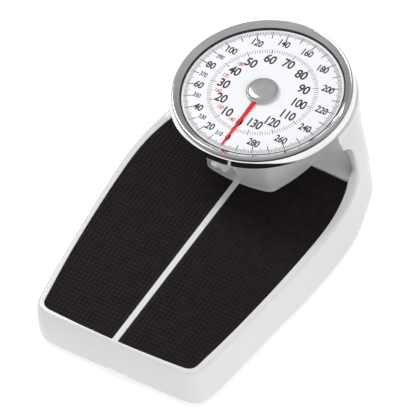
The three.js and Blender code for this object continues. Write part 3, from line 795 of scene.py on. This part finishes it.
def build_mat(side):
    """A mat with a bevelled edge and a grid of V grooves, on one side of the divider."""
    rings = [half_mat(0.0), half_mat(MAT_BEVEL)]
    verts, edges = [], []
    for outline in rings:
        first = len(verts)
        verts += [Vector((x, y)) for x, y in outline]
        count = len(outline)
        edges += [(first + i, first + (i + 1) % count) for i in range(count)]
    low, high = rings[1].min(0), rings[1].max(0)
    pitch = MAT_PITCH * 1
    groove_lines(verts, edges, low, high, pitch)
    spots, _, faces, _, _, _ = delaunay_2d_cdt(verts, edges, [], 0, 1e-5)
    flat = np.array([(p.x, p.y) for p in spots])
    middle = np.array([flat[list(f)].mean(0) for f in faces])
    keep = within(rings[0], middle)
    faces = [f for f, k in zip(faces, keep) if k]
    inner = within(rings[1], flat)
    on_ring = gap_to(rings[1], flat) < ON_LINE
    height = np.where(inner | on_ring, DECK_Z, DECK_Z - MAT_EDGE_DROP)
    off = np.abs(flat / pitch - np.round(flat / pitch)) * pitch
    height[(off.min(1) < ON_LINE) & inner & ~on_ring] = DECK_Z - GROOVE_DEPTH
    used = sorted({v for f in faces for v in f})
    order = {v: i for i, v in enumerate(used)}
    top = [(flat[v][0], flat[v][1], height[v]) for v in used]
    points, solid = closed_below(top, [[order[v] for v in f] for f in faces])
    if side < 0:
        points = [(-x, y, z) for x, y, z in points]
        solid = [list(reversed(f)) for f in solid]
    name = "mat_right" if side > 0 else "mat_left"
    piece = made(name + "_ribbed", points, solid, mat_rubber, smooth=False)
    face_outwards(piece, cut_large=True)
    return placed(piece, "platform", "mat_black", name)


build_mat(1)
build_mat(-1)


# ---------------------------------------------------------------- dial head
def build_bezel():
    """The chrome ring: an upright band, a rounded shoulder, then a bevel down to the lens."""
    profile = [(95.4, BEZEL_LOW_Z), (99.5, BEZEL_LOW_Z), (99.9, BEZEL_LOW_Z + 0.3)]
    profile += [(99.98, BEZEL_LOW_Z + 0.7), (99.85, 132.4), (99.5, 133.9)]
    profile += [(98.9, 135.2), (98.1, 136.5), (97.3, 137.5), (96.6, 138.2), (95.9, 138.5), (95.2, 138.4)]
    profile += [(94.4, 137.9), (92.2, 136.5), (90.4, 135.1), (89.3, 134.6), (88.9, 134.3), (88.8, 133.9)]
    profile += [(88.7, 132.5), (95.4, 132.5)]
    piece = made("bezel_ring", *revolved(profile, sides=256), chrome, sharp=50)
    return placed(piece, "platform", "chrome", "dial_bezel")


def build_gasket():
    """The rubber ring under the bezel, and a dark ring round the lens that paints the shadow in the gap at
    the lens edge.
    """
    profile = [(93.2, 123.4), (96.6, 123.4), (97.0, 123.6), (97.0, 124.3), (96.6, 124.5), (93.2, 124.5)]
    piece = made("gasket_ring", *revolved(profile, sides=192), rubber)
    placed(piece, "platform", "rubber", "bezel_gasket")
    # painted shadow: a dark rubber ring that stands in for the shadow in the gap between the bezel and the
    # lens
    profile = [(87.3, 132.15), (88.6, 132.15), (88.6, 134.0), (88.4, 134.2), (87.6, 133.95), (87.3, 133.6)]
    piece = made("lens_edge_shadow_ring", *revolved(profile, sides=192), rubber)
    return placed(piece, "platform", "rubber")


def build_lens():
    """A thin clear dome with a flat rim."""
    low, rise, thick = DIAL_Z + 0.3, 6.2, 1.3
    under, over = [], []
    for i in range(25):
        turn = math.pi / 2 * i / 24
        radius = LENS_R * math.sin(turn)
        height = rise * max(0.0, math.cos(turn)) ** 0.7
        under.append((radius, low + height))
        over.insert(0, (radius, low + thick + height))
    profile = under + [(LENS_R + 0.4, low), (LENS_R + 0.4, low + thick)] + over
    piece = made("lens_dome", *revolved(profile, sides=160), lens_clear)
    return placed(piece, "platform", "lens_clear", "dial_lens")


def build_dial_plate():
    """The white plate, with a hole for the spindle and a skirt down to the cover."""
    profile = [
        (4, DIAL_Z - 1),
        (DIAL_PLATE_R, DIAL_Z - 1),
        (DIAL_PLATE_R, HEAD_TOP_Z + 0.25),
        (DIAL_SKIRT_R, HEAD_TOP_Z + 0.25),
        (DIAL_SKIRT_R, DIAL_Z - 0.3),
        (DIAL_SKIRT_R - 0.3, DIAL_Z),
        (4, DIAL_Z),
    ]
    piece = made("dial_plate_enamel", *revolved(profile, sides=192), face_enamel)
    return placed(piece, "platform", "dial_face", "dial_plate")


# ---------------------------------------------------------------- dial print
TURN_LB = 300
LB_PER_KG = 2.20462
LAST_KG = 135
INK_LOW, INK_HIGH = DIAL_Z + 0.01, DIAL_Z + 0.05
# (every so many, inner radius, width): the first row that fits a value is used
LB_TICKS = ((20, 74.2, 1.0), (10, 76.0, 0.95), (5, 78.8, 0.6), (1, 80.6, 0.58))
KG_TICKS = ((10, 53.4, 0.8), (5, 54.6, 0.62), (1, 55.4, 0.5))


def dial_spot(lb, radius):
    """Where a value sits on the dial: clockwise from the front, seen from above."""
    turn = 2 * math.pi * lb / TURN_LB
    return Vector((-math.sin(turn), -math.cos(turn))) * radius


def ticks(name, spec, material):
    """Bars on the dial: (lb value, inner radius, outer radius, width)."""
    points, faces = [], []
    for lb, inner, outer, width in spec:
        out = dial_spot(lb, 1)
        side = Vector((out.y, -out.x)) * width / 2
        corners = [out * inner - side, out * inner + side, out * outer + side, out * outer - side]
        first = len(points)
        for z in (INK_LOW, INK_HIGH):
            points += [(c.x, c.y + HEAD_Y, z) for c in corners]
        low = [first, first + 1, first + 2, first + 3]
        high = [v + 4 for v in low]
        faces += [high, list(reversed(low))]
        faces += [[low[i], low[(i + 1) % 4], high[(i + 1) % 4], high[i]] for i in range(4)]
    piece = made(name, points, faces, material, smooth=False)
    face_outwards(piece)
    return placed(piece, "platform", "dial_face")


def numerals(name, labels, material, height, narrow=0.86, weight=0.0):
    """Upright numbers as one mesh, from (text, lb value, radius)."""
    pieces = []
    for text, lb, radius in labels:
        curve = bpy.data.curves.new(name, "FONT")
        curve.body = text
        curve.size = height * 1.37 * MM
        curve.align_x, curve.align_y = "CENTER", "CENTER"
        curve.extrude = 0.02 * MM
        curve.offset = weight * MM
        curve.space_character = 0.95
        curve.resolution_u = 4
        holder = bpy.data.objects.new(name, curve)
        bpy.context.scene.collection.objects.link(holder)
        bpy.context.view_layer.update()
        mesh = bpy.data.meshes.new_from_object(holder.evaluated_get(bpy.context.evaluated_depsgraph_get()))
        bpy.data.objects.remove(holder)
        co = np.zeros(len(mesh.vertices) * 3)
        mesh.vertices.foreach_get("co", co)
        co = co.reshape(-1, 3) / MM
        co[:, :2] -= (co[:, :2].min(0) + co[:, :2].max(0)) / 2
        spot = dial_spot(lb, radius)
        co[:, 0] = co[:, 0] * narrow * (0.9 if len(text) > 2 else 1) + spot.x
        co[:, 1] += spot.y + HEAD_Y
        co[:, 2] += DIAL_Z + 0.03
        pieces.append((co, [list(p.vertices) for p in mesh.polygons]))
        bpy.data.meshes.remove(mesh)
    points, faces = [], []
    for co, polygons in pieces:
        first = len(points)
        points += co.tolist()
        faces += [[v + first for v in f] for f in polygons]
    piece = made(name, points, faces, material, smooth=False)
    return placed(piece, "platform", "dial_face")


def build_print():
    """Pounds round the edge and kilograms inside, each with its second turn in small numbers."""
    outer_ticks = []
    for lb in range(TURN_LB):
        inner, width = next(row for step, *row in LB_TICKS if lb % step == 0)
        outer_ticks.append((lb, inner, TICK_OUTER_R, width))
    ticks("lb_ticks", outer_ticks, dial_ink)
    inner_ticks = []
    for kg in range(LAST_KG + 1):
        inner, width = next(row for step, *row in KG_TICKS if kg % step == 0)
        inner_ticks.append((kg * LB_PER_KG, inner, KG_TICK_OUTER_R, width))
    ticks("kg_ticks", inner_ticks, dial_ink)
    # small turns, in lb, that keep numbers clear of their neighbours and the needle
    shift = {20: -2.6, 40: -1.6, 310: -2.3, 330: -1.6}
    outer = [(str(v), v + shift.get(v, 0), 70.2) for v in range(0, TURN_LB, 20)]
    numerals("lb_numbers", outer, dial_ink, 9.0, weight=0.32)
    second = [(str(TURN_LB + v), v + shift.get(TURN_LB + v, 0), 70.4) for v in (10, 30, 50, 70, 90)]
    numerals("lb_second_turn", second, dial_ink, 5.9, weight=0.18)
    shift = {10: -1.2, 110: -1.3, 120: -3.0, 130: -4.8}
    inner = []
    for v in range(0, 140, 10):
        near = v == 0 or 50 < v < 90
        inner.append((str(v), v * LB_PER_KG + shift.get(v, 0), 46.6 if near else 44.2))
    numerals("kg_numbers", inner, dial_ink, 11.6, weight=0.4)
    second = []
    for v in range(140, 190, 10):
        second.append((str(v), v * LB_PER_KG - TURN_LB + (2.4 if v > 150 else 0.8), 47.8))
    numerals("kg_second_turn", second, red_ink, 5.2, weight=0.16)


def build_pointer():
    """A flat red needle with bevelled edges that tapers to its tip, round an eye under the cap."""
    low, high = DIAL_Z + 1.0, DIAL_Z + 1.6
    eye = 7.0
    half = [(eye, -3), (2.7, -14), (2.4, -22), (0.85, 1 - POINTER_LENGTH), (0.4, -POINTER_LENGTH)]
    outline = [(x, y) for x, y in half]
    outline += [(-x, y) for x, y in reversed(half)]
    outline += [(eye * math.cos(t), eye * math.sin(t)) for t in np.linspace(math.pi, 0, 17)]
    count = len(outline)
    points = [(x, y + HEAD_Y, low) for x, y in outline]
    points += [(x, y + HEAD_Y, high - 0.15) for x, y in outline]
    points += [(x * 0.82, y + HEAD_Y, high) for x, y in outline]
    faces = [list(range(count))[::-1], list(range(2 * count, 3 * count))]
    for level in (0, 1):
        for i in range(count):
            j = (i + 1) % count
            a = level * count
            faces.append([a + i, a + j, a + count + j, a + count + i])
    piece = made("pointer_blade", points, faces, pointer_red, smooth=False)
    face_outwards(piece)
    return placed(piece, "pointer", "pointer_red", "pointer_needle")


def build_hub():
    """The domed cap over the needle's eye, with a flange round its foot."""
    low, r = HUB_LOW_Z, HUB_R
    profile = [(3.4, low), (r - 0.4, low), (r, low + 0.3), (r, low + 0.9), (r - 0.4, low + 1.3)]
    profile += [(r - 1.2, low + 1.5), (r - 1.7, low + 1.8), (r - 2.1, low + 2.4), (r - 2.9, low + 3.1)]
    profile += [(13.0, low + 3.55), (10, low + 3.85), (6.5, low + 4.0), (3, HUB_TOP_Z - 0.02), (0, HUB_TOP_Z)]
    profile += [(0, low + 1.0), (3.4, low + 1.0)]
    piece = made("hub_cap", *revolved(profile, sides=128), cap_metal, sharp=45)
    return placed(piece, "pointer", "chrome", "pointer_hub")


build_bezel()
build_gasket()
build_lens()
build_dial_plate()
build_print()
build_pointer()
build_hub()


# ---------------------------------------------------------------- the frame's own pieces
FINISH = {
    "steel": steel,
    "dark_steel": dark_steel,
    "rubber": rubber,
    "brass": brass,
    "knob_black": knob_black,
    "chrome": chrome,
    "cover_white": white_enamel,
    "mat_black": mat_rubber,
    "dial_face": face_enamel,
    "lens_clear": lens_clear,
    "pointer_red": pointer_red,
}


slots = {entry["node"]: entry["material_slot"] for entry in frame["record"]["subparts"]}
for name, piece in frame["nodes"].items():
    piece.data.materials.clear()
    piece.data.materials.append(FINISH.get(slots.get(name), steel))


# ---------------------------------------------------------------- floor and light
def build_floor():
    """A wide floor that glows a little, so that it stays pale under the scale."""
    mesh = bpy.data.meshes.new("floor")
    reach = 6
    corners = [(-reach, -reach, 0), (reach, -reach, 0), (reach, reach, 0), (-reach, reach, 0)]
    mesh.from_pydata(corners, [], [(0, 1, 2, 3)])
    floor = bpy.data.objects.new("floor", mesh)
    bpy.context.scene.collection.objects.link(floor)
    pale = finish_of("floor", (0.50, 0.50, 0.50), (0.51, 0.51, 0.51), (0.8, 0.9), 3, spec=0.2)
    glow = pale.node_tree.nodes["Principled BSDF"]
    glow.inputs["Emission Color"].default_value = (1, 1, 1, 1)
    glow.inputs["Emission Strength"].default_value = 0.72
    floor.data.materials.append(pale)


def area_light(name, place, target, size, power, mirrored_in_chrome=False):
    """A square light aimed at a target, seen in shiny pieces only if asked."""
    data = bpy.data.lights.new(name, "AREA")
    data.energy = power
    data.size = size
    lamp = bpy.data.objects.new(name, data)
    lamp.location = place
    lamp.visible_glossy = mirrored_in_chrome
    lamp.rotation_euler = (Vector(target) - Vector(place)).to_track_quat("-Z", "Y").to_euler()
    bpy.context.scene.collection.objects.link(lamp)


OPEN_SKY = [(0.0, 0.36), (0.25, 0.38), (0.5, 0.48), (0.75, 0.56), (1.0, 0.56)]
DARK_SIDE = [(0.0, 0.05), (0.2, 0.05), (0.38, 0.36), (0.7, 0.54), (1.0, 0.56)]


def build_light():
    """A pale room that is dark low down at the front right, with a big soft light high on the left."""
    world = bpy.data.worlds.new("soft_room")
    world.use_nodes = True
    tree = world.node_tree
    place = tree.nodes.new("ShaderNodeTexCoord")
    parts = tree.nodes.new("ShaderNodeSeparateXYZ")
    tree.links.new(place.outputs["Generated"], parts.inputs["Vector"])
    # open sky to the left and back, a darker room low down at the front right
    levels_of = {}
    for side, rows in (("open", OPEN_SKY), ("shut", DARK_SIDE)):
        bands = tree.nodes.new("ShaderNodeValToRGB")
        stops = bands.color_ramp.elements
        (stops[0].position, low), (stops[1].position, high) = rows[0], rows[-1]
        stops[0].color, stops[1].color = (low, low, low * 1.02, 1), (high, high, high * 1.02, 1)
        for position, level in rows[1:-1]:
            stop = stops.new(position)
            stop.color = (level, level, level * 1.02, 1)
        tree.links.new(parts.outputs["Z"], bands.inputs["Fac"])
        levels_of[side] = bands.outputs["Color"]
    across = tree.nodes.new("ShaderNodeVectorMath")
    across.operation = "DOT_PRODUCT"
    across.inputs[1].default_value = (0.64, -0.77, 0)
    tree.links.new(place.outputs["Generated"], across.inputs[0])
    share = tree.nodes.new("ShaderNodeMapRange")
    share.inputs["From Min"].default_value, share.inputs["From Max"].default_value = 0.35, 0.85
    tree.links.new(across.outputs["Value"], share.inputs["Value"])
    blend = tree.nodes.new("ShaderNodeMixRGB")
    tree.links.new(share.outputs["Result"], blend.inputs["Fac"])
    tree.links.new(levels_of["open"], blend.inputs["Color1"])
    tree.links.new(levels_of["shut"], blend.inputs["Color2"])
    tree.links.new(blend.outputs["Color"], tree.nodes["Background"].inputs["Color"])
    tree.nodes["Background"].inputs["Strength"].default_value = 0.9
    bpy.context.scene.world = world
    area_light("key", (-1.5, 0.5, 2.0), (0, 0, 0.05), 1.0, 24, True)
    area_light("side", (2.6, -1.3, 1.2), (0, 0, 0.05), 1.5, 29)
    area_light("front", (0.3, -2.7, 1.0), (0, 0, 0.05), 1.6, 5)
    area_light("top", (0.3, 0.2, 2.8), (0, 0, 0.05), 1.3, 19)


build_floor()
build_light()
bpy.context.scene.view_settings.view_transform = "Standard"
